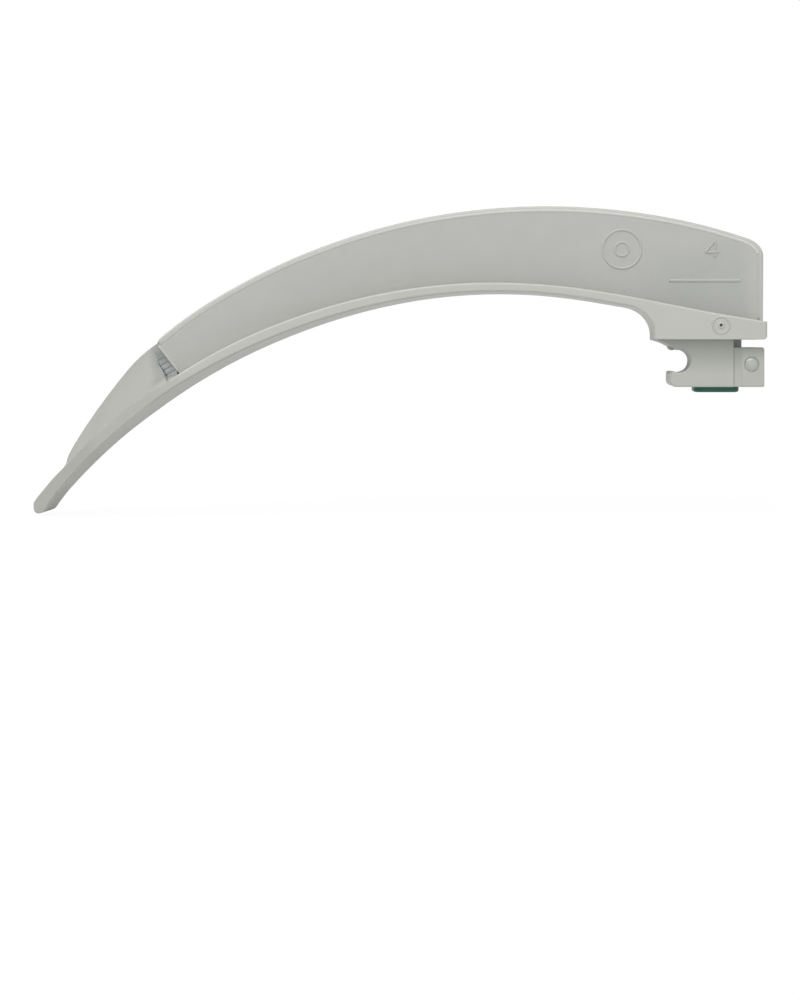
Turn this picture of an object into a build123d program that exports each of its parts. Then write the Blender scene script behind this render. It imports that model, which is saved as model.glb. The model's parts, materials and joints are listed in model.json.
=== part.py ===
from build123d import *
import math
import os
import numpy as np

# Single-use curved laryngoscope blade, size 4, with a standard hook base.
# Frame: origin on the axis of the handle's cross bar, in the hook notch, at mid width.
# +X runs to the heel, the tip lies to -X, +Z runs from the hook to the flange,
# and -Y is the near, open side of the blade (the side the light leaves from).

# ---------------------------------------------------------------- driving dimensions
HALF_W = 15.5 / 2         # half width of the tongue plate and heel
HEEL_BOTTOM = 4.6         # heel underside, the plane the hook base is fitted to
HEEL_START = -5.35        # tip end of the heel's underside
HEEL_END = 18.45          # rear end of the heel
HEEL_TOP = 8.38           # upper face of the tongue at the rear end
HEEL_SIDE_R = 0.9         # lower rear corner, seen from the side
HEEL_PLAN_R = 0.75        # rear corners, seen from above
ARC_MID = 1 - math.sqrt(0.5)   # inset of a quarter arc's middle, per unit radius
TONGUE_EDGE_R = 0.42      # rounding along the tongue's long edges
WEB_END = 18.6            # rear end of the web

BEAD_C = np.array([-136.8, -31.1])  # bead across the tip
BEAD_R = 1.5
BEAD_FLAT = 5.0           # straight stretch from the bead to the tongue's upper curve
PLAN_START = -109.0       # where the tongue starts to narrow
PLAN_END = -138.45        # tip end in plan
PLAN_R = 30.0             # bend into the narrowing
PLAN_TURN = math.radians(9.5)
TIP_PLAN_R = 1.7          # rounding of the tip's corners in plan

HOUSING_Y = -1.2          # open face of the light-guide housing
RIM_T = 0.95              # rim of the housing left around the cover
COVER_T = 1.2             # depth of the cover's seat
COVER_Y1 = HOUSING_Y + COVER_T
COVER_SET = 0.02          # how far the cover sits below the rim
COVER_GAP = 0.03          # seam round the cover
FIN_Y0, FIN_Y1 = 3.0, 5.0  # the thin web near the tip; the housing ends at the same far face
FLANGE_Y = 11.8           # free edge of the top flange
FLANGE_T = 2.1            # thickness of the top flange

GUIDE_Y0, GUIDE_Y1 = 0.06, 2.54   # light guide, across the web
GUIDE_HALF = 2.2          # half height of the light guide
GUIDE_GAP = 0.06          # clearance around the guide
INLET_X = 7.8             # light inlet, under the base
INLET_R = 2.0
INLET_TOP = 2.5
LENS_Y0 = -0.85           # near face of the exit lens
RIB_R = 0.34              # radius of the grooves in the lens

TENON_X0, TENON_X1 = 1.6, 13.2    # tenon that joins the base to the heel
TENON_HALF = 3.4
TENON_TOP = 7.2
TENON_GAP = 0.04

NOTCH_R = 2.4             # hook notch, for a 4.76 mm bar
NOTCH_FLARE = 2.86        # where it opens out on the far side
FLARE_Y, FLARE_LENGTH = 3.95, 4.9
BASE_HALF = 6.35          # standard hook base, 12.7 mm wide
BASE_BOTTOM = -5.48
CORE_END = 13.5           # rear end of the base between the arms
CORE_HALF = 4.0
PLATE_X0, PLATE_X1 = 3.35, 13.1
PLATE_Z = -6.68           # face that meets the handle's light
PLATE_HALF = 3.6

ARM_X1 = 18.0             # free end of the snap arms
ARM_TOP = 2.95
ARM_IN = 4.55             # inner face of a snap arm, from mid width
ROOT_X = 13.1             # where the arm steps down to its root strip
STRIP_OUT = 0.72          # outer face of the root strip, out from the bending line
SIDE_END = 11.45          # where the solid side of the base ends
PIVOT_X, PIVOT_Y = 11.7, 5.4      # bending line of a snap arm
PIVOT_R = 0.55
RUN = 0.03                # running clearance at the bending line
BALL_X, BALL_Z = 15.27, -0.7
BALL_R = 2.2
BALL_Y = BASE_HALF - 1.74  # ball centre, sunk below the arm's outer face
BALL_RECESS_R = 1.7       # shallow round recess about the ball
RECESS_DEPTH = 0.05

# ---------------------------------------------------------------- curves, as (X, Z)
# tongue's upper face, after the straight stretch at the bead
UPPER = [(-131.5, -23.03), (-125.77, -17.41), (-120.45, -12.73), (-115.2, -8.78),
         (-110.0, -5.34), (-98.0, 1.92), (-86.0, 7.47), (-72.0, 12.18), (-58.0, 15.18),
         (-44.0, 16.54), (-30.0, 16.30), (-18.0, 14.96), (-5.0, 12.65), (5.0, 10.67),
         (17.4, 8.55)]
LOWER = [(-134.82, -30.81), (-132.15, -27.34), (-127.89, -22.71), (-122.58, -17.58),
         (-116.23, -12.34), (-108.0, -6.5), (-98.0, -0.6), (-86.0, 4.97), (-72.0, 9.86),
         (-58.0, 13.06), (-44.0, 14.55), (-30.0, 14.36), (-20.0, 13.2), (-12.9, 12.02)]
# from the heel's underside up to the tongue's
HEEL_THROAT = [(HEEL_START, HEEL_BOTTOM), (-5.38, 5.9), (-5.62, 7.3), (-6.35, 8.8),
               (-7.5, 10.1), (-9.2, 11.15), LOWER[-1]]
CREST = [(-112.0, 4.65), (-104.0, 10.72), (-94.0, 16.72), (-82.0, 22.5), (-68.0, 27.57),
         (-54.0, 31.0), (-40.0, 32.9), (-28.0, 33.4), (-16.0, 32.87), (-4.0, 31.33),
         (6.0, 29.2), (14.6, 26.65)]
# rear end of the crest, turning down
CREST_REAR = [CREST[-1], (16.5, 25.85), (17.9, 24.6), (WEB_END, 22.4)]
# free edge of the thin web, and its lower edge inside the tongue
FIN = [(-133.75, -26.4), (-133.45, -23.4), (-132.75, -20.8), (-131.95, -19.2),
       (-131.1, -17.75), (-130.2, -16.3), (-125.9, -9.95), (-121.5, -4.15), (-117.1, 0.8),
       (-113.4, 3.72), CREST[0]]
FIN_FOOT = [(-110.0, -6.3), (-115.0, -9.7), (-120.0, -13.6), (-125.0, -18.2),
            (-130.4, -23.8), (-133.75, -27.6)]
# centre line of the light guide
GUIDE = [(-109.9, -0.75), (-98.0, 6.4), (-86.0, 11.95), (-72.0, 16.65), (-58.0, 19.65),
         (-44.0, 21.0), (-30.0, 20.75), (-18.0, 19.35), (-9.0, 17.35), (-3.0, 14.9),
         (2.2, 11.2), (5.9, 6.6), (7.5, 2.2), (7.8, -1.6)]
# directions of the outline where its stretches meet
TIP_UNDER = (-1.0, -1.5)
TIP_OVER = (1.0, 1.17)
HEEL_UNDER = (-1.0, 0.175)
HEEL_OVER = (1.0, -0.165)


# ---------------------------------------------------------------- helpers
def curve_z(points, x):
    xs, zs = zip(*points)
    return float(np.interp(x, xs, zs))


def catmull(points, per_span=12):
    """Dense points along a smooth curve through the given points."""
    knots = np.array(points, dtype=float)
    knots = np.vstack([2 * knots[0] - knots[1], knots, 2 * knots[-1] - knots[-2]])
    dense = []
    for i in range(1, len(knots) - 2):
        before, start, end, after = knots[i - 1:i + 3]
        for s in np.linspace(0, 1, per_span, endpoint=False):
            dense.append(0.5 * (2 * start + (end - before) * s
                                + (2 * before - 5 * start + 4 * end - after) * s * s
                                + (3 * start - before - 3 * end + after) * s ** 3))
    dense.append(knots[-2])
    return np.array(dense)


def shifted(points, distance, keep):
    """The curve moved to its left by distance, thinned to keep points."""
    dense = catmull(points)
    along = np.gradient(dense, axis=0)
    along /= np.linalg.norm(along, axis=1)[:, None]
    left = np.stack([-along[:, 1], along[:, 0]], axis=1)
    moved = dense + left * distance
    chosen = np.unique(np.linspace(0, len(moved) - 1, keep).round().astype(int))
    return [tuple(map(float, moved[i])) for i in chosen]


def lifted(points, rise):
    return [(x, z + rise) for x, z in points]


def unit(vector):
    return np.array(vector) / np.linalg.norm(vector)


def point(array):
    return tuple(map(float, array))


def lines(*points):
    """Straight edges from each point to the next."""
    return [Line(start, end) for start, end in zip(points, points[1:])]


def area(*edges):
    return Face(Wire(list(edges)))


def poly(*points):
    return area(*lines(*points, points[0]))


def slab(face, y0, y1):
    """A face drawn in X and Z, filled from y0 to y1."""
    return extrude(Plane.XZ.offset(-y1) * face, amount=y1 - y0, dir=(0, -1, 0))


def upright(face, z0, height):
    """A face drawn in X and Y, filled upwards from z0."""
    return Pos(0, 0, z0) * extrude(face, amount=height, dir=(0, 0, 1))


def rod_y(x, z, r, y0, y1):
    return Pos(x, (y0 + y1) / 2, z) * Rot(90, 0, 0) * Cylinder(r, y1 - y0)


def rod_z(x, y, r, z0, z1):
    return Pos(x, y, (z0 + z1) / 2) * Cylinder(r, z1 - z0)


def block(x0, x1, y0, y1, z0, z1):
    return Pos((x0 + x1) / 2, (y0 + y1) / 2, (z0 + z1) / 2) * Box(x1 - x0, y1 - y0, z1 - z0)


def mid_block(x0, x1, half, z0, z1, inset=0.0):
    """A block centred on mid width, its four upright sides moved in by inset."""
    return block(x0 + inset, x1 - inset, -half + inset, half - inset, z0, z1)


def side_span(side, inner, outer):
    """Two distances from mid width as a rising pair of Y, on side -1 or 1."""
    return sorted((side * inner, side * outer))


def soften(solid, pick, r):
    """Rounds the picked edges, at the largest radius that the shape takes."""
    for share in (1.0, 0.7, 0.45, 0.25):
        # the fillet fails where the radius does not fit; the next one is smaller
        try:
            edges = pick(solid)
            if not edges:
                return solid
            rounded = fillet(edges, r * share)
            if rounded.is_valid and rounded.volume > 0:
                return rounded
        except Exception:
            continue
    return solid


# ---------------------------------------------------------------- tongue, seen from the side
# The bead is a round end, thicker than the tongue, with a hollow step on the underside.
# The step is an arc tangent to both the underside and the bead.
over = unit(TIP_OVER)
under = unit(TIP_UNDER)
under_out = np.array([-under[1], under[0]])
to_under = np.array(LOWER[0]) - BEAD_C
step_r = float((to_under @ to_under - BEAD_R ** 2) / (2 * BEAD_R - 2 * (to_under @ under_out)))
step_c = np.array(LOWER[0]) + under_out * step_r
step_end = point(BEAD_C + unit(step_c - BEAD_C) * BEAD_R)
step_mid = point(step_c + unit((np.array(LOWER[0]) + np.array(step_end)) / 2 - step_c) * step_r)
bead_mid = point(BEAD_C + unit((-0.62, -0.785)) * BEAD_R)
bead_top = BEAD_C + np.array([-over[1], over[0]]) * BEAD_R
bead_end = point(bead_top)
TONGUE_TOP = [point(bead_top + over * BEAD_FLAT), *UPPER]


def tongue_face():
    side_r = HEEL_SIDE_R
    corner = [
        (HEEL_END, HEEL_BOTTOM + side_r),
        (HEEL_END - side_r * ARC_MID, HEEL_BOTTOM + side_r * ARC_MID),
        (HEEL_END - side_r, HEEL_BOTTOM),
    ]
    return area(
        Spline(*TONGUE_TOP, tangents=[TIP_OVER, HEEL_OVER]),
        *lines(TONGUE_TOP[-1], (HEEL_END, HEEL_TOP), corner[0]),
        ThreePointArc(*corner),
        Line(corner[-1], HEEL_THROAT[0]),
        Spline(*HEEL_THROAT, tangents=[(0, 1), HEEL_UNDER]),
        Spline(*reversed(LOWER), tangents=[HEEL_UNDER, TIP_UNDER]),
        ThreePointArc(LOWER[0], step_mid, step_end),
        ThreePointArc(step_end, bead_mid, bead_end),
        Line(bead_end, TONGUE_TOP[0]),
    )


# ---------------------------------------------------------------- tongue, seen from above
# It narrows over its last stretch and ends almost square, with rounded corners.
turn_cos, turn_sin = math.cos(PLAN_TURN), math.sin(PLAN_TURN)
bend_end = (PLAN_START - PLAN_R * turn_sin, HALF_W - PLAN_R * (1 - turn_cos))


def taper_y(x):
    """Half width on the straight narrowing stretch."""
    return bend_end[1] - (bend_end[0] - x) * turn_sin / turn_cos


def half_width(x):
    """Half width for the wedge, kept 0.1 inside the tongue along the bend."""
    if x > bend_end[0]:
        return HALF_W - 0.1 if x < PLAN_START else HALF_W
    return taper_y(x)


def plan_face():
    heel_r = HEEL_PLAN_R
    bend_mid = (PLAN_START - PLAN_R * math.sin(PLAN_TURN / 2),
                HALF_W - PLAN_R * (1 - math.cos(PLAN_TURN / 2)))
    corner_turn = math.pi / 2 - PLAN_TURN
    corner_y = taper_y(PLAN_END)
    reach = TIP_PLAN_R * math.tan(corner_turn / 2)
    centre = (PLAN_END + TIP_PLAN_R, corner_y - reach)
    mid_angle = math.pi - corner_turn / 2
    # far side, from heel to tip: arc, line, arc, line, arc
    far = [
        (HEEL_END, HALF_W - heel_r),
        (HEEL_END - heel_r * ARC_MID, HALF_W - heel_r * ARC_MID),
        (HEEL_END - heel_r, HALF_W),
        (PLAN_START, HALF_W),
        bend_mid,
        bend_end,
        (PLAN_END + reach * turn_cos, corner_y + reach * turn_sin),
        (centre[0] + TIP_PLAN_R * math.cos(mid_angle),
         centre[1] + TIP_PLAN_R * math.sin(mid_angle)),
        (PLAN_END, corner_y - reach),
    ]
    near = [(x, -y) for x, y in reversed(far)]

    def side_edges(p):
        return [ThreePointArc(*p[0:3]), Line(p[2], p[3]), ThreePointArc(*p[3:6]),
                Line(p[5], p[6]), ThreePointArc(*p[6:9])]

    return area(Line(near[-1], far[0]), *side_edges(far),
                Line(far[-1], near[0]), *side_edges(near))


# ---------------------------------------------------------------- web, wedge and flange
def web_foot(rise):
    """The tongue's upper curve along the housing, from heel to tip, raised by rise."""
    return lifted(reversed(UPPER[5:-1]), rise)


def web_face():
    foot = web_foot(-1.0)
    return area(
        Spline(*CREST),
        Spline(*CREST_REAR),
        *lines(CREST_REAR[-1], (WEB_END - 0.1, 7.6), foot[0]),
        Spline(*foot),
        *lines(foot[-1], (-106.6, -4.2), (-107.55, -2.55), (-112.1, 3.4), CREST[0]),
    )


def make_housing():
    def open_rim(solid):
        return solid.edges().filter_by(
            lambda e: abs(e.center().Y - HOUSING_Y) < 0.01
            and (e.center().Z > 12 and (e.length > 100 or e.center().X > 14)))

    return soften(slab(web_face(), HOUSING_Y, FIN_Y1), open_rim, 0.6)


def make_fin():
    return slab(area(
        Spline(*FIN),
        *lines(FIN[-1], (-104.0, 8.0), (-104.0, -3.0), FIN_FOOT[0]),
        Spline(*FIN_FOOT),
        Line(FIN_FOOT[-1], FIN[0]),
    ), FIN_Y0, FIN_Y1)


def make_wedge():
    """Solid wedge between the tongue's open edge and the thin web, ahead of the light."""
    inset, root_depth = 0.04, 0.9
    y1 = FIN_Y0 + 0.06
    sections = []
    for x in (-108.2, -111.2, -114.0, -118.0, -122.0, -126.0, -129.6, -132.2):
        low = curve_z(TONGUE_TOP, x)
        top = curve_z(FIN, x) - inset
        y0 = inset - half_width(x)
        middle = (x, (y0 + y1) / 2 + 0.9, low + (top - low) * 0.42)
        sections.append(area(
            ThreePointArc((x, y0, low), middle, (x, y1, top)),
            *lines((x, y1, top), (x, y1, low - root_depth), (x, y0, low - root_depth),
                   (x, y0, low)),
        ))
    return loft(sections)


def make_flange():
    """Top flange, turned away from the open side, narrowing towards the tip."""
    rear_low, tip_low = (16.2, 22.9), (-112.0, 3.4)
    underside = [rear_low, *lifted(reversed(CREST[1:-1]), -FLANGE_T)]
    profile = area(
        Spline(*CREST),
        Spline(*CREST_REAR),
        Line(CREST_REAR[-1], rear_low),
        Spline(*underside),
        *lines(underside[-1], tip_low, CREST[0]),
    )
    tip_end = (-104.0, FIN_Y1 + 0.1)
    plan = area(
        *lines((-104.0, 4.0), (22.0, 4.0), (22.0, FLANGE_Y + 1), (-40.0, FLANGE_Y + 1),
               (-40.0, FLANGE_Y)),
        Spline((-40.0, FLANGE_Y), (-60.0, FLANGE_Y - 0.5), (-80.0, FLANGE_Y - 2.6), tip_end),
        Line(tip_end, (-104.0, 4.0)),
    )
    flange = slab(profile, FIN_Y1, FLANGE_Y) & upright(plan, -10, 60)
    return soften(flange, lambda solid: solid.edges().filter_by(
        lambda e: e.center().Y > 11.0 and e.length > 30), 0.7)


# ---------------------------------------------------------------- cuts shared by pieces
def housing_clearance():
    """The housing's outline, taken past both of its sides."""
    return slab(web_face(), HOUSING_Y - 0.5, 20.0)


def housing_corner():
    """What is cut away to round the upper corner at the tip end of the housing."""
    low, high = (-112.053, 3.983), (-111.467, 5.054)
    return slab(area(
        *lines(low, (-113.5, low[1]), (-113.5, 7.0), high),
        ThreePointArc(high, (-111.875, 4.58), low),
    ), HOUSING_Y - 1, FIN_Y1 + 0.2)


def cover_face(inset, rear_curve, rear_z, rise, tip_end):
    """Outline inside the housing's rim; tip_end holds its corners at the tip end."""
    crest = shifted(CREST, -inset, 12)
    foot = web_foot(rise)
    rear_x = WEB_END - inset
    return area(
        Spline(*crest),
        Spline(crest[-1], *rear_curve, (rear_x, 22.0)),
        *lines((rear_x, 22.0), (rear_x, rear_z), foot[0]),
        Spline(*foot),
        *lines(foot[-1], *tip_end, crest[0]),
    )


def guide_strip(half, y0, y1):
    """A strip along the guide's centre line."""
    upper, lower = shifted(GUIDE, half, 16), shifted(GUIDE, -half, 16)
    return slab(area(Spline(*upper), Line(upper[-1], lower[-1]),
                     Spline(*reversed(lower)), Line(lower[0], upper[0])), y0, y1)


def guide_channel():
    return guide_strip(GUIDE_HALF + GUIDE_GAP, COVER_Y1, GUIDE_Y1 + GUIDE_GAP)


# ---------------------------------------------------------------- blade body
POCKET_LEAN = 0.15        # X per unit Y of the pocket's walls
POCKET = [(-111.5, 3.95), (-112.75, 2.3), (-112.6, 1.3), (-112.1, 0.0), (-111.3, -1.5),
          (-110.6, -2.6), (-109.8, -3.7), (-108.6, -5.3), (-105.9, -4.2), (-106.5, -2.0)]
# floor of the scoop, towards the tip
SCOOP = [(-106.6, -3.05), (-110.0, -5.3), (-115.0, -8.71), (-120.0, -12.61), (-124.0, -16.2)]


def make_pocket():
    """Light pocket, and the scoop that leads the light out towards the tip."""
    open_above = area(
        *lines((-124.0, 30.0), (-100.0, 30.0), (-100.0, 1.0), SCOOP[0]),
        Spline(*SCOOP),
        Line(SCOOP[-1], (-124.0, 30.0)),
    )
    outline = area(Line(POCKET[0], POCKET[1]), Spline(*POCKET[1:7]),
                   *lines(*POCKET[6:], POCKET[0]))
    # drawn at the lens's near face; the lean opens the pocket towards the tongue's open edge
    shift = Pos(-POCKET_LEAN * (FIN_Y0 - LENS_Y0), 0, 0)
    leaning = extrude(shift * Plane.XZ.offset(-FIN_Y0) * outline,
                      amount=12.0, dir=(POCKET_LEAN, -1, 0))
    pocket = leaning & slab(open_above, -20.0, FIN_Y0 + 1)
    return pocket - housing_clearance()


def make_sill():
    """Sill that leads from the tongue up to the lens, drawn in Y and Z."""
    profile = poly((-7.4, -5.6), (-0.92, -3.3), (-0.92, -5.85), (-7.4, -5.85))
    return extrude(Plane.YZ.offset(-110.3) * profile, amount=3.0, dir=(1, 0, 0))


def make_body():
    def long_edges(solid):
        return solid.edges().filter_by(
            lambda e: abs(abs(e.center().Y) - HALF_W) < 0.01 and e.length > 30)

    def pocket_lip(solid):
        return solid.edges().filter_by(
            lambda e: -112.0 < e.center().X < -110.9 and -1.9 < e.center().Z < -0.9
            and -1.9 < e.center().Y < -0.4 and e.length > 8)

    body = slab(tongue_face(), -HALF_W, HALF_W)
    body = soften(body, long_edges, TONGUE_EDGE_R)
    body = body & upright(plan_face(), -60, 100)
    for part in (make_housing(), make_fin(), make_wedge(), make_flange()):
        body = body + part
    body = body - make_pocket()
    body = body + make_sill()
    # rounded lip where the wedge runs into the pocket
    body = soften(body, pocket_lip, 0.3)
    body = body - housing_corner()
    seat = cover_face(
        inset=RIM_T, rear_curve=[(15.9, 25.0), (17.1, 23.9)], rear_z=8.62, rise=0.09,
        tip_end=[(-106.3, -2.84), (-108.3, -3.2), (-113.2, 3.3)])
    body = body - slab(seat, HOUSING_Y - 1.0, COVER_Y1)
    body = body - guide_channel()
    # socket for the base's tenon
    return body - mid_block(TENON_X0, TENON_X1, TENON_HALF, HEEL_BOTTOM - 0.5, TENON_TOP)


# ---------------------------------------------------------------- cover, guide and lens
def make_cover():
    outline = cover_face(
        inset=RIM_T + COVER_GAP, rear_curve=[(15.87, 24.94), (17.05, 23.86)], rear_z=8.66,
        rise=0.13, tip_end=[(-106.6, -2.92), (-107.25, -2.92), (-112.1, 3.4)])
    cover = slab(outline, HOUSING_Y + COVER_SET, COVER_Y1) - housing_corner()
    return soften(cover, lambda solid: solid.faces().sort_by(Axis.Y)[0].edges().filter_by(
        lambda e: e.length > 3), 0.08)


def make_guide():
    guide = guide_strip(GUIDE_HALF, GUIDE_Y0, GUIDE_Y1)
    return guide + rod_z(INLET_X, 0, INLET_R, PLATE_Z + 0.1, INLET_TOP)


def make_lens():
    """Ribbed clear block on the end of the guide, its face turned to the tip."""
    face = [(-112.72, 2.1), (-112.6, 1.3), (-112.08, 0.05), (-111.22, -1.45),
            (-110.36, -2.78), (-109.6, -3.8)]
    top = (-111.95, 3.0)
    lens = slab(area(
        Line(top, face[0]),
        Spline(*face),
        *lines(face[-1], (-109.15, -4.42), (-107.7, -3.55), (-108.0, -2.15), top),
    ), LENS_Y0, GUIDE_Y1)

    start = np.array(GUIDE[0])
    along = unit(np.array(GUIDE[1]) - start)
    across = np.array([-along[1], along[0]])

    def from_guide_end(forward, up):
        return point(start + along * forward + across * up)

    # room for the guide's end
    guide_end = poly(*(from_guide_end(forward, up) for forward, up in
                       ((-0.03, -2.3), (3.0, -2.3), (3.0, 2.3), (-0.03, 2.3))))
    lens = lens - slab(guide_end, GUIDE_Y0 - GUIDE_GAP, GUIDE_Y1 + 1)
    lens = lens - housing_clearance()
    # grooves on the near face, along the guide
    angle = math.degrees(math.atan2(along[1], along[0]))
    for up in (-1.9, -0.75, 0.45, 1.65):
        x, z = from_guide_end(-1.0, up)
        turned = Rot(0, -angle, 0) * Rot(0, 90, 0) * Cylinder(RIB_R, 8)
        lens = lens - (Pos(x, LENS_Y0 - 0.2, z) * turned)
    return lens


# ---------------------------------------------------------------- hook base
def on_notch(degrees, side):
    """Point of the notch circle, turned towards the tip from its top (1) or bottom (-1)."""
    angle = math.radians(degrees)
    return (-NOTCH_R * math.sin(angle), side * NOTCH_R * math.cos(angle))


def hook_face():
    lip_z, lip_x = -2.2, -1.9     # top and tip-side face of the lip below the notch
    lip_end = (on_notch(23.6, -1)[0], lip_z)
    notch_low, notch_high = on_notch(21.0, -1), on_notch(10.0, 1)
    mouth_end = (HEEL_START, HEEL_BOTTOM - 0.06)
    return area(
        *lines((HEEL_START, HEEL_BOTTOM), (CORE_END, HEEL_BOTTOM), (CORE_END, BASE_BOTTOM),
               (-0.7, BASE_BOTTOM)),
        ThreePointArc((-0.7, BASE_BOTTOM), (-1.55, BASE_BOTTOM + 0.35),
                      (lip_x, BASE_BOTTOM + 1.2)),
        Line((lip_x, BASE_BOTTOM + 1.2), (lip_x, -2.75)),
        ThreePointArc((lip_x, -2.75), (-1.72, -2.36), (-1.3, lip_z)),
        *lines((-1.3, lip_z), lip_end, notch_low),
        ThreePointArc(notch_low, (NOTCH_R, 0), notch_high),
        Spline(notch_high, (-0.95, 2.66), (-2.06, 3.3), (-3.16, 3.85), (-4.27, 4.24),
               mouth_end),
        Line(mouth_end, (HEEL_START, HEEL_BOTTOM)),
    )


def make_hook():
    def rear_corners(solid):
        return solid.edges().filter_by(Axis.Z).filter_by(
            lambda e: abs(e.center().X - CORE_END) < 0.1)

    def side_rims(solid):
        return solid.edges().filter_by(
            lambda e: abs(abs(e.center().Y) - BASE_HALF) < 0.01
            and e.center().Z < HEEL_BOTTOM - 0.3 and e.center().X < SIDE_END - 0.1)

    hook = slab(hook_face(), -BASE_HALF, BASE_HALF)
    # room for the snap arms
    for side in (-1, 1):
        y0, y1 = side_span(side, CORE_HALF, BASE_HALF + 1)
        hook = hook - block(SIDE_END, 20, y0, y1, -8, HEEL_BOTTOM + 1)
    hook = soften(hook, rear_corners, 0.5)
    hook = soften(hook, side_rims, 0.35)
    hook = hook + mid_block(TENON_X0, TENON_X1, TENON_HALF,
                            HEEL_BOTTOM - 0.6, TENON_TOP - 0.1, inset=TENON_GAP)
    for side in (-1, 1):
        hook = hook - rod_z(PIVOT_X, side * PIVOT_Y, PIVOT_R + RUN, -8, 8)
    # the notch opens out towards the far side
    hook = hook - (Pos(0, FLARE_Y, 0) * Rot(90, 0, 0) * Cone(NOTCH_FLARE, NOTCH_R, FLARE_LENGTH))
    # bump that holds the bar in the mouth
    hook = hook + rod_y(-1.25, 3.05, 0.72, -2.5, 2.5)
    # pocket for the coupling plate, and the guide's way through
    hook = hook - mid_block(PLATE_X0, PLATE_X1, PLATE_HALF,
                            BASE_BOTTOM - 1, BASE_BOTTOM + 1.1, inset=0.8)
    hook = hook - rod_z(INLET_X, 0, INLET_R + 0.1, -8.0, INLET_TOP + 0.1)
    return hook - guide_channel()


def make_plate():
    """Coupling plate, with a raised pad that sits in the base."""
    plate = mid_block(PLATE_X0, PLATE_X1, PLATE_HALF, PLATE_Z, BASE_BOTTOM)
    plate = soften(plate, lambda solid: solid.edges().filter_by(Axis.Z), 1.8)
    plate = soften(plate, lambda solid: solid.edges().group_by(Axis.Z)[0], 0.5)
    plate = plate + mid_block(PLATE_X0, PLATE_X1, PLATE_HALF,
                              BASE_BOTTOM - 0.2, BASE_BOTTOM + 1.05, inset=0.84)
    return plate - rod_z(INLET_X, 0, INLET_R + 0.05, -10, 0)


# ---------------------------------------------------------------- snap arms and balls
def ball_sphere(side):
    return Pos(BALL_X, side * BALL_Y, BALL_Z) * Sphere(BALL_R)


def make_arm(side):
    outline = area(
        Line((ROOT_X, ARM_TOP), (ARM_X1 - 0.6, ARM_TOP)),
        ThreePointArc((ARM_X1 - 0.6, ARM_TOP), (ARM_X1 - 0.18, ARM_TOP - 0.18),
                      (ARM_X1, ARM_TOP - 0.6)),
        Line((ARM_X1, ARM_TOP - 0.6), (ARM_X1, BASE_BOTTOM + 0.35)),
        ThreePointArc((ARM_X1, BASE_BOTTOM + 0.35), (ARM_X1 - 0.1, BASE_BOTTOM + 0.1),
                      (ARM_X1 - 0.35, BASE_BOTTOM)),
        *lines((ARM_X1 - 0.35, BASE_BOTTOM), (ROOT_X, BASE_BOTTOM), (ROOT_X, ARM_TOP)),
    )
    arm = slab(outline, *side_span(side, ARM_IN, BASE_HALF))
    arm = soften(arm, lambda solid: solid.edges().filter_by(
        lambda e: abs(e.center().Y - side * BASE_HALF) < 0.01), 0.3)
    # root strip, thinner past the bending line
    strip_out = PIVOT_Y + STRIP_OUT
    for x0, x1, strip_in in ((PIVOT_X + 0.2, ROOT_X + 0.3, PIVOT_Y - 0.5),
                             (SIDE_END + RUN, PIVOT_X + 0.4, PIVOT_Y)):
        y0, y1 = side_span(side, strip_in, strip_out)
        arm = arm + block(x0, x1, y0, y1, BASE_BOTTOM + 0.05, ARM_TOP - 0.03)
    arm = arm + rod_z(PIVOT_X, side * PIVOT_Y, PIVOT_R, BASE_BOTTOM + 0.05, ARM_TOP - 0.05)
    arm = arm - rod_y(BALL_X, BALL_Z, BALL_RECESS_R,
                      *side_span(side, BASE_HALF - RECESS_DEPTH, BASE_HALF + 1))
    return arm - ball_sphere(side)


def make_ball(side):
    """Ball in the arm, cut flat just short of the arm's inner face."""
    y0, y1 = side_span(side, ARM_IN + 0.05, 12)
    return ball_sphere(side) & block(BALL_X - 4, BALL_X + 4, y0, y1, BALL_Z - 4, BALL_Z + 4)


# ---------------------------------------------------------------- export
pieces = {
    "blade_body": make_body(),
    "guide_cover": make_cover(),
    "light_guide": make_guide(),
    "exit_lens": make_lens(),
    "hook_base": make_hook(),
    "coupling_plate": make_plate(),
    "snap_arm_near": make_arm(-1),
    "snap_arm_far": make_arm(1),
    "detent_ball_near": make_ball(-1),
    "detent_ball_far": make_ball(1),
}
os.makedirs("parts", exist_ok=True)
for name, shape in pieces.items():
    # loose slivers left by the cuts are dropped
    solid = max(shape.solids(), key=lambda s: s.volume)
    solid.label = name
    export_step(solid, f"parts/{name}.step")
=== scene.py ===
import json
import math

import bmesh
import bpy
import numpy as np
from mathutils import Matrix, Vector
from mathutils.bvhtree import BVHTree

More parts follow.
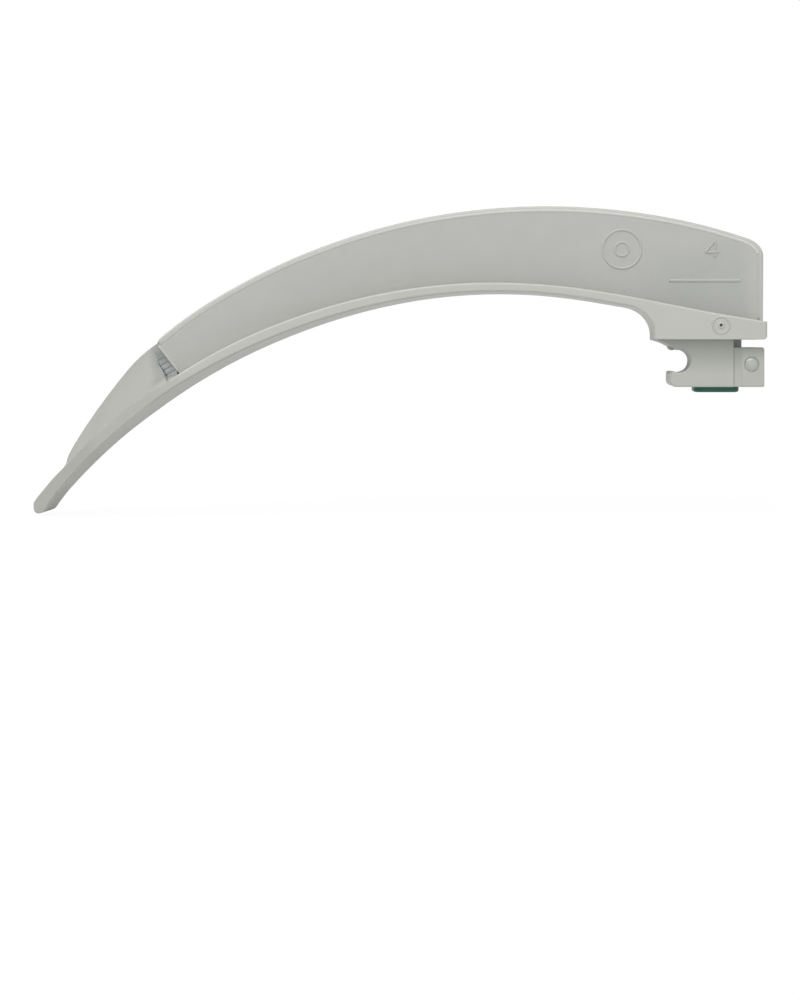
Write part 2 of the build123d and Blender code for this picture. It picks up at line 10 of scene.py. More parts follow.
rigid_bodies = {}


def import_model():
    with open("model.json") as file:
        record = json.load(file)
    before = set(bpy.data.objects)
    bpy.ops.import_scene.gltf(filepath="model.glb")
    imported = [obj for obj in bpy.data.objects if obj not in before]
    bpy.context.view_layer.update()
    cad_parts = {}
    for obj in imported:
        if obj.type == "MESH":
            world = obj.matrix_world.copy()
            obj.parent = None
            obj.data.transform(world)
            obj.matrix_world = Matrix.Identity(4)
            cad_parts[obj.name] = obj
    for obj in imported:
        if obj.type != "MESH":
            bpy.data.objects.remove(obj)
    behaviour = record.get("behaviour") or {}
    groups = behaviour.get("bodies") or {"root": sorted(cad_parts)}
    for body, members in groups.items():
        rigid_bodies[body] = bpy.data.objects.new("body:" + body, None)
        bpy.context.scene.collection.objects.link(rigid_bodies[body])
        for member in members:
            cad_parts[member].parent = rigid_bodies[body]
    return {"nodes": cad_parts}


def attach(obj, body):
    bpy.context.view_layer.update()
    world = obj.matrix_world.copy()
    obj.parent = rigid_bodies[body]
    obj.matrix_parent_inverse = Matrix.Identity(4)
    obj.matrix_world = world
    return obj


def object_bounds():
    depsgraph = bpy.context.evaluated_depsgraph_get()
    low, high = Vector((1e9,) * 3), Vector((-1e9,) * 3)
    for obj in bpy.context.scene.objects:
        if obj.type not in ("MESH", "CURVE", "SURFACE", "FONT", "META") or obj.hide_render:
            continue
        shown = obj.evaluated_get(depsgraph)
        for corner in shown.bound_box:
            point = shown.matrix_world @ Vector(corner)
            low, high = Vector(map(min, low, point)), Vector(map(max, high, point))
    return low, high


for o in list(bpy.data.objects):
    bpy.data.objects.remove(o)

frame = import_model()
cad_lo, cad_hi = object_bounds()
nodes = frame["nodes"]
MM = 0.001
scene = bpy.context.scene


# ------------------------------------------------------------------ material helpers
def new_mat(name):
    m = bpy.data.materials.new(name)
    m.use_nodes = True
    nt = m.node_tree
    nt.nodes.clear()
    out = nt.nodes.new("ShaderNodeOutputMaterial")
    out.location = (900, 0)
    return m, nt, out


def put(nt, kind, x=0, y=0, **values):
    n = nt.nodes.new(kind)
    n.location = (x, y)
    for k, v in values.items():
        if hasattr(n, k) and k not in ("Scale",):
            setattr(n, k, v)
        else:
            n.inputs[k].default_value = v
    return n


def rgba(c, a=1.0):
    return (c[0], c[1], c[2], a)


def srgb(r, g, b):
    def lin(v):
        v /= 255.0
        return v / 12.92 if v <= 0.04045 else ((v + 0.055) / 1.055) ** 2.4
    return (lin(r), lin(g), lin(b))


def noise(nt, coord, scale, detail=3.0, rough=0.55, distortion=0.0):
    n = nt.nodes.new("ShaderNodeTexNoise")
    n.inputs["Scale"].default_value = scale
    n.inputs["Detail"].default_value = detail
    n.inputs["Roughness"].default_value = rough
    n.inputs["Distortion"].default_value = distortion
    nt.links.new(coord, n.inputs["Vector"])
    return n


def math_node(nt, op, a, b=None, clamp=False):
    n = nt.nodes.new("ShaderNodeMath")
    n.operation = op
    n.use_clamp = clamp
    for i, v in enumerate((a, b)):
        if v is None:
            continue
        if isinstance(v, (int, float)):
            n.inputs[i].default_value = v
        else:
            nt.links.new(v, n.inputs[i])
    return n.outputs[0]


def map_range(nt, value, lo, hi, to_lo, to_hi):
    n = nt.nodes.new("ShaderNodeMapRange")
    nt.links.new(value, n.inputs["Value"])
    n.inputs["From Min"].default_value = lo
    n.inputs["From Max"].default_value = hi
    n.inputs["To Min"].default_value = to_lo
    n.inputs["To Max"].default_value = to_hi
    return n.outputs["Result"]


def mix_color(nt, factor, a, b, blend="MIX"):
    n = nt.nodes.new("ShaderNodeMix")
    n.data_type = "RGBA"
    n.blend_type = blend
    for sock, v in ((n.inputs[0], factor), (n.inputs[6], a), (n.inputs[7], b)):
        if isinstance(v, (int, float)):
            sock.default_value = v
        elif isinstance(v, tuple):
            sock.default_value = rgba(v) if len(v) == 3 else v
        else:
            nt.links.new(v, sock)
    return n.outputs[2]


def moulded(name, colour, dark, rough=0.46, grain=1.0, edge=0.00022, sheen=0.35, sub=0.0, corner_shade=0.16, tone=None):
    """Moulded, fibre-filled plastic: fine grain, faint flow marks, fine fibre specks, lighter edges, part wear and part
    painted highlight, and painted shade darkening the corners."""
    m, nt, out = new_mat(name)
    L = nt.links.new
    tc = nt.nodes.new("ShaderNodeTexCoord")
    obj = tc.outputs["Object"]
    # flow of the melt along the part
    stretch = nt.nodes.new("ShaderNodeMapping")
    stretch.inputs["Scale"].default_value = (0.35, 1.0, 1.0)
    L(obj, stretch.inputs["Vector"])
    flow = noise(nt, stretch.outputs[0], 55.0, 4.0, 0.6, 1.4)
    cloud = noise(nt, obj, 260.0, 3.0, 0.6)
    fine = noise(nt, obj, 5200.0, 3.0, 0.7)
    specks = nt.nodes.new("ShaderNodeTexVoronoi")
    specks.inputs["Scale"].default_value = 2100.0
    L(obj, specks.inputs["Vector"])
    patch = map_range(nt, flow.outputs["Fac"], 0.3, 0.7, 0.0, 1.0)
    col = mix_color(nt, patch, colour, tuple(0.5 * (a + b) for a, b in zip(colour, dark)))
    col = mix_color(nt, map_range(nt, cloud.outputs["Fac"], 0.35, 0.75, 0.0, 0.28), col, dark)
    col = mix_color(nt, map_range(nt, specks.outputs["Distance"], 0.0, 0.16, 0.16, 0.0), col, tuple(min(1.0, c * 1.35) for c in colour))
    if tone:
        col = tone(nt, obj, col)
    # lighter edges, part wear and part painted highlight, and painted shade darkening the corners
    bev = nt.nodes.new("ShaderNodeBevel")
    bev.samples = 6
    bev.inputs["Radius"].default_value = edge
    geo = nt.nodes.new("ShaderNodeNewGeometry")
    dot = nt.nodes.new("ShaderNodeVectorMath")
    dot.operation = "DOT_PRODUCT"
    L(bev.outputs[0], dot.inputs[0])
    L(geo.outputs["Normal"], dot.inputs[1])
    edge_wear_and_highlight = map_range(nt, dot.outputs["Value"], 0.985, 0.80, 0.0, 0.55)
    col = mix_color(nt, edge_wear_and_highlight, col, tuple(min(1.0, c * 1.14) for c in colour))
    # painted shade: corners and creases found by ambient occlusion are darkened towards the dark colour
    ao = nt.nodes.new("ShaderNodeAmbientOcclusion")
    ao.samples = 6
    ao.inputs["Distance"].default_value = 0.0018
    corner_shade_mask = map_range(nt, ao.outputs["AO"], 0.25, 0.85, corner_shade, 0.0)
    col = mix_color(nt, corner_shade_mask, col, tuple(c * 0.62 for c in dark))
    bump = nt.nodes.new("ShaderNodeBump")
    bump.inputs["Strength"].default_value = 0.55 * grain
    bump.inputs["Distance"].default_value = 0.00005
    height = math_node(nt, "ADD", math_node(nt, "MULTIPLY", fine.outputs["Fac"], 1.0),
                       math_node(nt, "MULTIPLY", cloud.outputs["Fac"], 1.6))
    L(height, bump.inputs["Height"])
    L(bev.outputs[0], bump.inputs["Normal"])
    bsdf = nt.nodes.new("ShaderNodeBsdfPrincipled")
    L(col, bsdf.inputs["Base Color"])
    L(map_range(nt, fine.outputs["Fac"], 0.3, 0.7, rough - 0.06, rough + 0.10), bsdf.inputs["Roughness"])
    L(bump.outputs[0], bsdf.inputs["Normal"])
    bsdf.inputs["Specular IOR Level"].default_value = sheen
    if sub:
        bsdf.inputs["Subsurface Weight"].default_value = sub
        bsdf.inputs["Subsurface Radius"].default_value = (0.0012, 0.0011, 0.001)
        bsdf.inputs["Subsurface Scale"].default_value = 1.0
    L(bsdf.outputs[0], out.inputs["Surface"])
    return m


def acrylic(name, tint, rough=0.08, clear=0.92, top=None):
    """Clear moulded acrylic: glass-like, with faint flow lines and a fine haze; given top, painted shade darkens its
    upper part.
    """
    m, nt, out = new_mat(name)
    L = nt.links.new
    tc = nt.nodes.new("ShaderNodeTexCoord")
    obj = tc.outputs["Object"]
    flow = noise(nt, obj, 420.0, 3.0, 0.6, 0.8)
    fine = noise(nt, obj, 3600.0, 2.0, 0.6)
    bump = nt.nodes.new("ShaderNodeBump")
    bump.inputs["Strength"].default_value = 0.25
    bump.inputs["Distance"].default_value = 0.00008
    L(flow.outputs["Fac"], bump.inputs["Height"])
    bsdf = nt.nodes.new("ShaderNodeBsdfPrincipled")
    col = mix_color(nt, map_range(nt, flow.outputs["Fac"], 0.35, 0.65, 0.0, 1.0), tint, tuple(c * 0.9 for c in tint))
    # painted shade: darker towards the top, and darker still above 1.5 mm
    if top:
        x, y, z = axes(nt, obj)
        col = mix_color(nt, smooth(nt, z, -0.0030, 0.0012), col, top)
        col = mix_color(nt, smooth(nt, z, 0.0015, 0.0026), col, (0.40, 0.405, 0.405))
    L(col, bsdf.inputs["Base Color"])
    bsdf.inputs["Transmission Weight"].default_value = clear
    bsdf.inputs["IOR"].default_value = 1.49
    L(map_range(nt, fine.outputs["Fac"], 0.3, 0.7, rough, rough + 0.12), bsdf.inputs["Roughness"])
    L(bump.outputs[0], bsdf.inputs["Normal"])
    L(bsdf.outputs[0], out.inputs["Surface"])
    return m


def axes(nt, obj):
    sep = nt.nodes.new("ShaderNodeSeparateXYZ")
    nt.links.new(obj, sep.inputs[0])
    return sep.outputs


def smooth(nt, value, lo, hi, to_lo=0.0, to_hi=1.0):
    n = nt.nodes.new("ShaderNodeMapRange")
    n.interpolation_type = "SMOOTHSTEP"
    nt.links.new(value, n.inputs["Value"])
    n.inputs["From Min"].default_value = lo
    n.inputs["From Max"].default_value = hi
    n.inputs["To Min"].default_value = to_lo
    n.inputs["To Max"].default_value = to_hi
    return n.outputs["Result"]


def scaled(nt, v, k, add=0.0):
    return math_node(nt, "ADD", math_node(nt, "MULTIPLY", v, k), add)


def facing(nt):
    geo = nt.nodes.new("ShaderNodeNewGeometry")
    sep = nt.nodes.new("ShaderNodeSeparateXYZ")
    nt.links.new(geo.outputs["Normal"], sep.inputs[0])
    return sep.outputs


def body_painted_light(nt, obj, col):
    """Painted shade and light on the blade: the front is a little darker and greener, with a grey painted shade beside
    the light pocket, an even painted shade underneath and a painted ring highlight for the ejector mark.
    """
    x, y, z = axes(nt, obj)
    nx, ny, nz = facing(nt)
    # painted shade on the front: everything left of the line of the housing's end is the front; the housing's own rim
    # keeps its tone
    past_end = math_node(nt, "ADD", scaled(nt, x, 0.79, 0.0858), scaled(nt, z, 0.61, 0.0))
    front = math_node(nt, "MULTIPLY", smooth(nt, x, -0.116, -0.103, 1.0, 0.0), smooth(nt, past_end, -0.0004, 0.0002, 1.0, 0.0))
    band = math_node(nt, "MULTIPLY", smooth(nt, x, -0.112, -0.100, 1.0, 0.0), smooth(nt, z, -0.0045, -0.0015, 1.0, 0.0))
    front = math_node(nt, "MAXIMUM", front, band)
    # only the sloping and downward faces, so that the upright web keeps its tone
    sloped = smooth(nt, nz, 0.05, 0.35)
    front = math_node(nt, "MULTIPLY", front, math_node(nt, "MAXIMUM", smooth(nt, x, -0.128, -0.122, 1.0, 0.55), sloped))
    col = mix_color(nt, front, col, (0.77, 0.775, 0.77), "MULTIPLY")
    # slightly lighter at the very end of the tip
    col = mix_color(nt, smooth(nt, x, -0.131, -0.124, 1.0, 0.0), col, (1.05, 1.05, 1.05), "MULTIPLY")
    # the outer edge of the crest turns away from the light
    crest = math_node(nt, "MULTIPLY", smooth(nt, nz, 0.45, 0.8), smooth(nt, z, 0.006, 0.012))
    col = mix_color(nt, crest, col, (0.90, 0.90, 0.90), "MULTIPLY")
    # painted shade: the underside keeps one even, shaded tone from the heel to the tip
    below = smooth(nt, nz, -0.35, -0.15, 1.0, 0.0)
    shade = math_node(nt, "MULTIPLY", smooth(nt, x, -0.114, -0.100), smooth(nt, x, -0.080, -0.040, 1.0, 0.55))
    shade = math_node(nt, "MULTIPLY", shade, smooth(nt, x, -0.012, -0.008, 1.0, 0.0))
    col = mix_color(nt, math_node(nt, "MULTIPLY", below, shade), col, (0.86, 0.865, 0.865), "MULTIPLY")
    # painted light: the underside's painted shade is lifted again towards the tip
    for lo, hi, k in ((-0.134, -0.120, 1.24), (-0.1372, -0.1335, 1.45)):
        tip = math_node(nt, "MULTIPLY", below, smooth(nt, x, lo, hi, 1.0, 0.0))
        col = mix_color(nt, tip, col, (k, k, k), "MULTIPLY")
    # faint round ejector mark beside the light pocket, drawn as a painted highlight ring inside a painted shadow ring
    # on the near faces
    away = math_node(nt, "SQRT", math_node(nt, "ADD", math_node(nt, "POWER", math_node(nt, "ADD", x, 0.1141), 2.0),
                                           math_node(nt, "POWER", math_node(nt, "ADD", z, 0.0035), 2.0)))
    near_side = smooth(nt, ny, -0.45, -0.25, 1.0, 0.0)
    for r, k in ((0.00193, 1.045), (0.00216, 0.965)):
        ring = smooth(nt, math_node(nt, "ABSOLUTE", math_node(nt, "ADD", away, -r)), 0.00004, 0.00018, 1.0, 0.0)
        col = mix_color(nt, math_node(nt, "MULTIPLY", ring, near_side), col, (k, k, k), "MULTIPLY")
    # painted shade beside the light pocket: distance from the pocket's edge, along its normal, and height above the
    # tongue
    across = math_node(nt, "ADD", scaled(nt, x, 0.92, 0.1036), scaled(nt, z, 0.39, -0.0005))
    beside = smooth(nt, across, -0.0034, 0.0)
    above = smooth(nt, math_node(nt, "ADD", z, scaled(nt, x, -0.66, -0.0673)), 0.0002, 0.0022)
    near_x = smooth(nt, x, -0.1175, -0.1135)
    m = math_node(nt, "MULTIPLY", math_node(nt, "MULTIPLY", beside, above), near_x)
    m = math_node(nt, "MULTIPLY", m, smooth(nt, past_end, -0.0004, 0.0002, 1.0, 0.0))
    col = mix_color(nt, m, col, (0.72, 0.735, 0.745), "MULTIPLY")
    return col


def rim_tone(nt, obj, col):
    """The rim bead catches less light towards the tip."""
    x, y, z = axes(nt, obj)
    return mix_color(nt, smooth(nt, x, -0.095, -0.035, 1.0, 0.0), col, (0.90, 0.90, 0.90), "MULTIPLY")


def base_heel_shadow(nt, obj, col):
    """Painted shadow of the heel: the base is darker under the heel and lightens towards its lower edge."""
    x, y, z = axes(nt, obj)
    high = smooth(nt, z, -0.0036, 0.0022)
    return mix_color(nt, high, col, (0.745, 0.76, 0.75), "MULTIPLY")


def arm_shade(nt, obj, col):
    """Painted shade: the snap arms darken a little along their upper edge, and their root strips like the base's
    painted shadow of the heel.
    """
    x, y, z = axes(nt, obj)
    high = smooth(nt, z, -0.0005, 0.0028)
    root = math_node(nt, "MULTIPLY", smooth(nt, x, 0.0128, 0.0134, 1.0, 0.0), smooth(nt, z, -0.0034, 0.0018))
    return mix_color(nt, math_node(nt, "MAXIMUM", high, root), col, (0.73, 0.745, 0.735), "MULTIPLY")


def cover_shade(nt, obj, col):
    """Cloudy, slightly bluish painted shade along the cover's lower half and towards the heel."""
    x, y, z = axes(nt, obj)
    warp = noise(nt, obj, 38.0, 3.0, 0.55, 0.8)
    zz = math_node(nt, "ADD", z, scaled(nt, warp.outputs["Fac"], 0.010, -0.005))
    low = smooth(nt, math_node(nt, "ADD", zz, scaled(nt, x, 0.10, 0.0)), 0.0175, 0.0275, 1.0, 0.0)
    right = smooth(nt, x, -0.055, -0.020)
    col = mix_color(nt, math_node(nt, "MULTIPLY", low, right), col, (1.045, 1.04, 1.045), "MULTIPLY")
    col = mix_color(nt, math_node(nt, "MULTIPLY", low, right), col, (0.945, 0.952, 0.96), "MULTIPLY")
    heel = smooth(nt, math_node(nt, "ADD", x, scaled(nt, warp.outputs["Fac"], 0.016, -0.008)), -0.016, 0.004)
    heel = math_node(nt, "MULTIPLY", heel, smooth(nt, x, 0.0135, 0.0165, 1.0, 0.0))
    col = mix_color(nt, math_node(nt, "MULTIPLY", heel, smooth(nt, zz, 0.019, 0.027, 1.0, 0.25)), col, (0.93, 0.935, 0.94), "MULTIPLY")
    return col


GREY = srgb(186, 185, 179)
GREY_D = srgb(177, 177, 171)
mat_body = moulded("body_plastic", GREY, GREY_D, edge=0.00034, tone=body_painted_light)
mat_cover = moulded("cover_plastic", srgb(181, 181, 176), srgb(172, 173, 169), rough=0.50, tone=cover_shade)
# the rim bead's lighter colour is a painted highlight along the seam; rim_tone dims it towards the tip
mat_rim_highlight = moulded("rim_painted_highlight", srgb(200, 200, 196), srgb(194, 194, 190), rough=0.46, corner_shade=0.03, tone=rim_tone)
mat_edge = moulded("edge_plastic", srgb(180, 180, 175), srgb(174, 174, 169), rough=0.48, corner_shade=0.03)
# the lip bead's lighter colour is a painted highlight along the housing's end edge
mat_lip_highlight = moulded("lip_painted_highlight", srgb(190, 190, 185), srgb(184, 184, 179), rough=0.48, corner_shade=0.03)
mat_base = moulded("base_plastic", srgb(181, 181, 175), srgb(172, 173, 167), rough=0.44, corner_shade=0.05, tone=base_heel_shadow)
mat_arm = moulded("arm_plastic", srgb(179, 179, 173), srgb(170, 171, 165), rough=0.44, corner_shade=0.0, edge=0.0004, tone=arm_shade)
mat_green = moulded("green_plastic", srgb(32, 96, 74), srgb(22, 76, 58), rough=0.36, grain=0.6)
mat_ball = moulded("ball_plastic", srgb(176, 178, 172), srgb(164, 166, 160), rough=0.20, grain=0.4, sheen=0.7, sub=0.3, corner_shade=0.0, edge=0.0003)
mat_clear = acrylic("clear_acrylic", (0.90, 0.93, 0.92))
# painted shade of the light pocket: the lens is grey and mostly opaque, and darker at its top
mat_lens_shaded = acrylic("lens_acrylic_shaded", (0.52, 0.53, 0.53), rough=0.20, clear=0.16, top=(0.31, 0.315, 0.315))

LOOK = {
    "blade_body": mat_body, "guide_cover": mat_cover, "light_guide": mat_clear, "exit_lens": mat_lens_shaded,
    "hook_base": mat_base, "coupling_plate": mat_green, "snap_arm_near": mat_arm, "snap_arm_far": mat_arm,
    "detent_ball_near": mat_ball, "detent_ball_far": mat_ball,
}
for name, mat in LOOK.items():
    o = nodes[name]
    o.data.materials.clear()
    o.data.materials.append(mat)
    for p in o.data.polygons:
        p.material_index = 0


# ------------------------------------------------------------------ raised and sunk marks
def surface_of(*names):
    verts, faces = [], []
    for n in names:
        me = nodes[n].data
        base = len(verts)
        verts += [v.co.copy() for v in me.vertices]
        faces += [[base + i for i in p.vertices] for p in me.polygons]
    return BVHTree.FromPolygons(verts, faces)


NEAR = surface_of("blade_body", "guide_cover")


def skin(tree, x, z):
    hit = tree.ray_cast(Vector((x * MM, -0.03, z * MM)), Vector((0, 1, 0)), 0.06)
    return hit[0].y / MM if hit[0] is not None else None


def link(me, name, mat, body):
    o = bpy.data.objects.new(name, me)
    scene.collection.objects.link(o)
    o.data.materials.append(mat)
    for p in me.polygons:
        p.use_smooth = True
    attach(o, body)
    return o


def raised_line(name, paths, width, height, mat, body="blade", tree=None, step=0.18):
    """Rounded raised lines that follow the surface below them: each path is a list of (x, z) in mm; a closed path
    repeats its first point. Every line is a closed solid, sunk a little into the surface."""
    tree = tree or NEAR
    bm = bmesh.new()
    prof = [(-0.5, 0.0), (-0.38, 0.62), (-0.18, 0.93), (0.0, 1.0), (0.18, 0.93), (0.38, 0.62), (0.5, 0.0)]
    for path in paths:
        closed = math.dist(path[0], path[-1]) < 1e-6
        dense = []
        for a, b in zip(path, path[1:]):
            n = max(1, int(math.dist(a, b) / step))
            dense += [(a[0] + (b[0] - a[0]) * i / n, a[1] + (b[1] - a[1]) * i / n) for i in range(n)]
        if not closed:
            dense.append(path[-1])
        rings = []
        count = len(dense)
        for i, (x, z) in enumerate(dense):
            p0 = dense[(i - 1) % count] if closed or i > 0 else dense[i]
            p1 = dense[(i + 1) % count] if closed or i < count - 1 else dense[i]
            tx, tz = p1[0] - p0[0], p1[1] - p0[1]
            ln = math.hypot(tx, tz) or 1.0
            nx, nz = -tz / ln, tx / ln
            base = skin(tree, x, z)
            if base is None:
                continue
            loop = []
            for s, h in prof:
                px, pz = x + nx * s * width, z + nz * s * width
                y = skin(tree, px, pz)
                y = base if y is None or abs(y - base) > 0.5 else y
                loop.append(bm.verts.new((px * MM, (y - h * height) * MM, pz * MM)))
            for s in (0.5, -0.5):
                px, pz = x + nx * s * width, z + nz * s * width
                y = skin(tree, px, pz)
                y = base if y is None or abs(y - base) > 0.5 else y
                loop.append(bm.verts.new((px * MM, (y + 0.06) * MM, pz * MM)))
            rings.append(loop)
        k = len(prof) + 2
        pairs = list(zip(rings, rings[1:])) + ([(rings[-1], rings[0])] if closed else [])
        for a, b in pairs:
            for j in range(k):
                bm.faces.new((a[j], a[(j + 1) % k], b[(j + 1) % k], b[j]))
        if not closed:
            bm.faces.new(rings[0])
            bm.faces.new(list(reversed(rings[-1])))
    bmesh.ops.recalc_face_normals(bm, faces=bm.faces)
    me = bpy.data.meshes.new(name)
    bm.to_mesh(me)
    bm.free()
    return link(me, name, mat, body)


def circle(cx, cz, r, n=72):
    return [(cx + r * math.cos(2 * math.pi * i / n), cz + r * math.sin(2 * math.pi * i / n)) for i in range(n)] + [(cx + r, cz)]


def catmull(points, per=12):
    p = np.array(points, dtype=float)
    p = np.vstack([2 * p[0] - p[1], p, 2 * p[-1] - p[-2]])
    out = []
    for i in range(1, len(p) - 2):
        for s in np.linspace(0, 1, per, endpoint=False):
            a, b, c, d = p[i - 1], p[i], p[i + 1], p[i + 2]
            out.append(0.5 * (2 * b + (c - a) * s + (2 * a - 5 * b + 4 * c - d) * s * s
                              + (3 * b - a - 3 * c + d) * s ** 3))
    out.append(p[-2])
    return np.array(out)


def bead(name, path, y, wide, high, mat, swell=lambda x: 1.0):
    """A smooth, low bead swept along a path of (x, z) in mm at depth y: its section swells from the surface and
    runs back into it, and its underside lies just below the surface."""
    bm = bmesh.new()
    rings = []
    count = len(path)
    top = [-1.0 + i / 6 for i in range(13)]
    for i, (x, z) in enumerate(path):
        p0, p1 = path[max(0, i - 1)], path[min(count - 1, i + 1)]
        tx, tz = p1[0] - p0[0], p1[1] - p0[1]
        ln = math.hypot(tx, tz) or 1.0
        nx, nz = -tz / ln, tx / ln
        k = min(1.0, 0.45 + 0.2 * min(i, count - 1 - i)) * swell(x)
        ring = []
        for t in top:
            h = high * k * 0.5 * (1 + math.cos(math.pi * t))
            ring.append(bm.verts.new(((x + nx * wide * t) * MM, (y - h + 0.012 * abs(t)) * MM, (z + nz * wide * t) * MM)))
        for t in (1.0, -1.0):
            ring.append(bm.verts.new(((x + nx * wide * t) * MM, (y + 0.09) * MM, (z + nz * wide * t) * MM)))
        rings.append(ring)
    m = len(rings[0])
    for a, b in zip(rings, rings[1:]):
        for j in range(m):
            bm.faces.new((a[j], a[(j + 1) % m], b[(j + 1) % m], b[j]))
    bm.faces.new(rings[0])
    bm.faces.new(list(reversed(rings[-1])))
    bmesh.ops.recalc_face_normals(bm, faces=bm.faces)
    me = bpy.data.meshes.new(name)
    bm.to_mesh(me)
    bm.free()
    return link(me, name, mat, "blade")


# rounded rim bead along the seam of the cover: up the housing's end, along the crest and down the rear edge
CREST = [(-112.0, 4.65), (-104.0, 10.72), (-94.0, 16.72), (-82.0, 22.5), (-68.0, 27.57), (-54.0, 31.0),
         (-40.0, 32.9), (-28.0, 33.4), (-16.0, 32.87), (-4.0, 31.33), (6.0, 29.2), (14.6, 26.65)]
q = catmull(CREST)
g = np.gradient(q, axis=0)
g /= np.linalg.norm(g, axis=1)[:, None]
inner = q + np.stack([g[:, 1], -g[:, 0]], axis=1) * 0.96


def evenly(points, step=0.5):
    out = []
    for a, b in zip(points, points[1:]):
        n = max(1, int(math.dist(a, b) / step))
        out += [(a[0] + (b[0] - a[0]) * i / n, a[1] + (b[1] - a[1]) * i / n) for i in range(n)]
    return out + [points[-1]]


seam = [(-111.75, 3.63)] + [tuple(v) for v in inner] + [(15.9, 24.97), (17.08, 23.88), (17.45, 22.9)]
bead("seam_bead", evenly(seam), -1.19, 0.40, 0.08, mat_rim_highlight, lambda x: min(1.0, max(0.3, (x + 115.0) / 65.0)))
bead("seam_bead_rear", evenly([(17.40, 23.1), (17.62, 22.0), (17.63, 16.0), (17.63, 8.9)]), -1.19, 0.36, 0.03, mat_edge)
end = [(-107.55, -2.32), (-111.75, 3.2)]
n = 24
bead("housing_end_bead", [(end[0][0] + (end[1][0] - end[0][0]) * i / n, end[0][1] + (end[1][1] - end[0][1]) * i / n) for i in range(n + 1)],
     -1.185, 0.26, 0.06, mat_lip_highlight)

# generic size mark: a plain double ring, the size digit, and a plain bar
raised_line("size_ring", [circle(-11.95, 24.1, 4.15, 96), circle(-11.95, 24.1, 1.5, 48)], 0.55, 0.15, mat_cover)
raised_line("size_digit", [[(8.15, 22.35), (8.15, 26.1), (6.15, 23.45), (8.85, 23.45)]], 0.5, 0.16, mat_cover)
raised_line("size_bar", [[(-1.7, 17.3), (13.5, 17.3)]], 0.7, 0.13, mat_cover)
# moulding mark: gate on the heel; the ejector mark beside the light pocket is painted in the blade body's material
raised_line("gate_ring", [circle(8.62, 7.62, 0.5, 48)], 0.42, 0.2, mat_body, step=0.08)
raised_line("gate_edge", [circle(8.62, 7.62, 1.75, 60)], 0.5, 0.07, mat_body)
# painted shade: a dark, shallow dimpled disc in the middle of the gate's ring
bm = bmesh.new()
yy = skin(NEAR, 8.62, 7.62)
rim = [bm.verts.new(((8.62 + 0.26 * math.cos(i * math.pi / 12)) * MM, (yy - 0.03) * MM, (7.62 + 0.26 * math.sin(i * math.pi / 12)) * MM)) for i in range(24)]
back = [bm.verts.new(((8.62 + 0.26 * math.cos(i * math.pi / 12)) * MM, (yy + 0.05) * MM, (7.62 + 0.26 * math.sin(i * math.pi / 12)) * MM)) for i in range(24)]
dip = bm.verts.new((8.62 * MM, (yy - 0.01) * MM, 7.62 * MM))
for i in range(24):
    bm.faces.new((rim[i], rim[(i + 1) % 24], dip))
    bm.faces.new((rim[(i + 1) % 24], rim[i], back[i], back[(i + 1) % 24]))
bm.faces.new(back)
bmesh.ops.recalc_face_normals(bm, faces=bm.faces)
me = bpy.data.meshes.new("gate_pip")
bm.to_mesh(me)
bm.free()
mat_pip_shade = moulded("gate_pip_painted_shade", srgb(70, 70, 68), srgb(50, 50, 48), rough=0.5)
link(me, "gate_pip", mat_pip_shade, "blade")

# ------------------------------------------------------------------ stage, light and camera
lo, hi = cad_lo, cad_hi
me = bpy.data.meshes.new("floor")
s = 6.0
me.from_pydata([(-s, -s, 0), (s, -s, 0), (s, s, 0), (-s, s, 0)], [], [(0, 1, 2, 3)])
floor = bpy.data.objects.new("floor", me)
scene.collection.objects.link(floor)
floor.location = (0, 0, lo.z - 0.0006)
fm, nt, out = new_mat("floor_paper")
b = nt.nodes.new("ShaderNodeBsdfPrincipled")
tc = nt.nodes.new("ShaderNodeTexCoord")
lp = nt.nodes.new("ShaderNodeLightPath")
nz = noise(nt, tc.outputs["Object"], 30.0, 3.0)
seen = mix_color(nt, nz.outputs["Fac"], (0.955, 0.955, 0.955), (0.965, 0.965, 0.965))
nt.links.new(mix_color(nt, lp.outputs["Is Camera Ray"], (0.74, 0.75, 0.745), seen), b.inputs["Base Color"])
b.inputs["Roughness"].default_value = 0.8
b.inputs["Specular IOR Level"].default_value = 0.05
em = nt.nodes.new("ShaderNodeEmission")
em.inputs["Color"].default_value = (1, 1, 1, 1)
em.inputs["Strength"].default_value = 1.0
seen_mix = nt.nodes.new("ShaderNodeMixShader")
nt.links.new(math_node(nt, "MULTIPLY", lp.outputs["Is Camera Ray"], 0.95), seen_mix.inputs[0])
nt.links.new(b.outputs[0], seen_mix.inputs[1])
nt.links.new(em.outputs[0], seen_mix.inputs[2])
nt.links.new(seen_mix.outputs[0], out.inputs["Surface"])
floor.data.materials.append(fm)

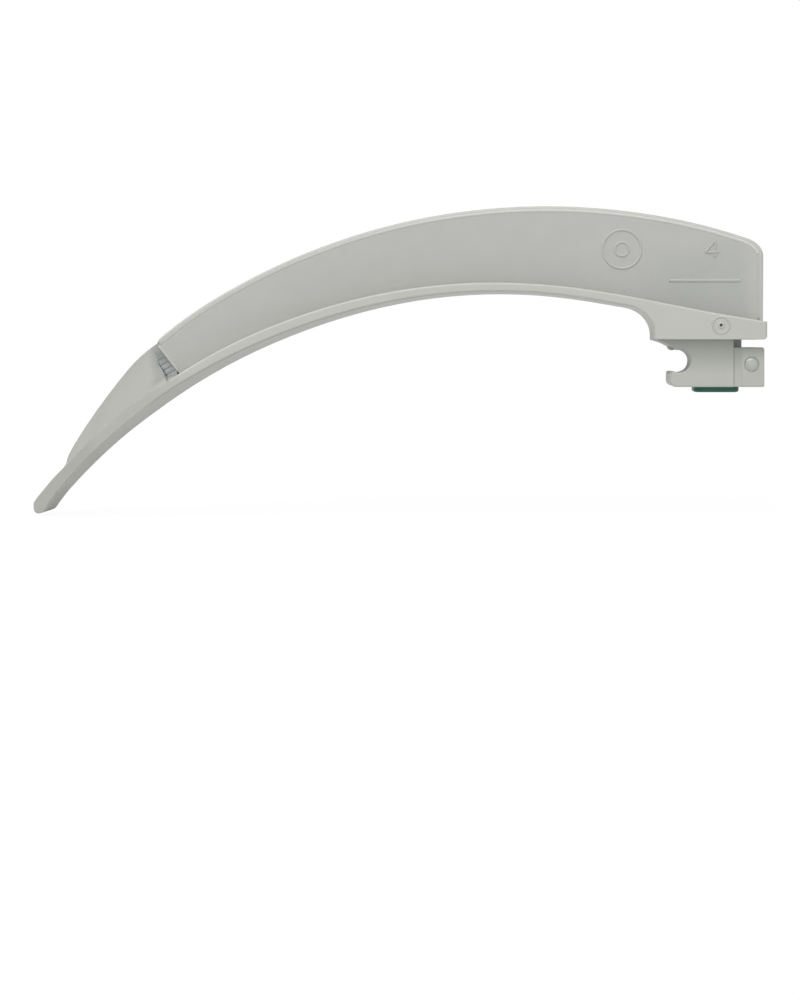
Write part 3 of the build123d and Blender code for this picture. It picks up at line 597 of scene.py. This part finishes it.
world = bpy.data.worlds.new("studio")
scene.world = world
world.use_nodes = True
wn = world.node_tree
wn.nodes.clear()
wo = wn.nodes.new("ShaderNodeOutputWorld")
path = wn.nodes.new("ShaderNodeLightPath")
bg_cam = wn.nodes.new("ShaderNodeBackground")
bg_cam.inputs["Color"].default_value = (1, 1, 1, 1)
bg_cam.inputs["Strength"].default_value = 1.0
bg_fill = wn.nodes.new("ShaderNodeBackground")
bg_fill.inputs["Color"].default_value = (0.98, 0.99, 1.0, 1)
bg_fill.inputs["Strength"].default_value = 0.54
mixs = wn.nodes.new("ShaderNodeMixShader")
wn.links.new(path.outputs["Is Camera Ray"], mixs.inputs[0])
wn.links.new(bg_fill.outputs[0], mixs.inputs[1])
wn.links.new(bg_cam.outputs[0], mixs.inputs[2])
wn.links.new(mixs.outputs[0], wo.inputs["Surface"])


def area_light(name, loc, target, size, power, colour=(1, 1, 1)):
    d = bpy.data.lights.new(name, "AREA")
    d.shape = "RECTANGLE"
    d.size, d.size_y = size
    d.energy = power
    d.color = colour
    o = bpy.data.objects.new(name, d)
    scene.collection.objects.link(o)
    o.location = loc
    o.rotation_euler = (Vector(target) - Vector(loc)).to_track_quat("-Z", "Y").to_euler()
    return o


def sun_light(name, frm, strength, angle, colour=(1, 1, 1)):
    d = bpy.data.lights.new(name, "SUN")
    d.energy = strength
    d.angle = math.radians(angle)
    d.color = colour
    o = bpy.data.objects.new(name, d)
    scene.collection.objects.link(o)
    o.rotation_euler = (-Vector(frm)).to_track_quat("-Z", "Y").to_euler()
    return o


sun_light("high_soft", (-0.28, -0.34, 1.0), 2.3, 50)
sun_light("front_soft", (0.25, -1.0, 0.35), 0.55, 80)

cam_data = bpy.data.cameras.new("camera")
cam = bpy.data.objects.new("camera", cam_data)
scene.collection.objects.link(cam)
cam.location = (-0.0266, -0.295, 0.00365)
cam.rotation_euler = (math.radians(90), 0, 0)
cam_data.sensor_width = 36.0
cam_data.lens = 49.07
cam_data.clip_start, cam_data.clip_end = 0.005, 50.0
scene.camera = cam


def shift_at_home(prop, value):
    """The lens shift holds only while the camera stands at its own place, so other views stay centred."""
    f = cam_data.driver_add(prop)
    d = f.driver
    d.type = "SCRIPTED"
    v = d.variables.new()
    v.name = "x"
    v.type = "TRANSFORMS"
    v.targets[0].id = cam
    v.targets[0].transform_type = "LOC_X"
    v.targets[0].transform_space = "WORLD_SPACE"
    d.expression = f"{value} * (abs(x + 0.0266) < 0.0001)"


shift_at_home("shift_x", -0.154)
shift_at_home("shift_y", -0.156)

scene.view_settings.view_transform = "Standard"
scene.view_settings.look = "None"
scene.view_settings.exposure = 0.0
scene.view_settings.gamma = 1.0
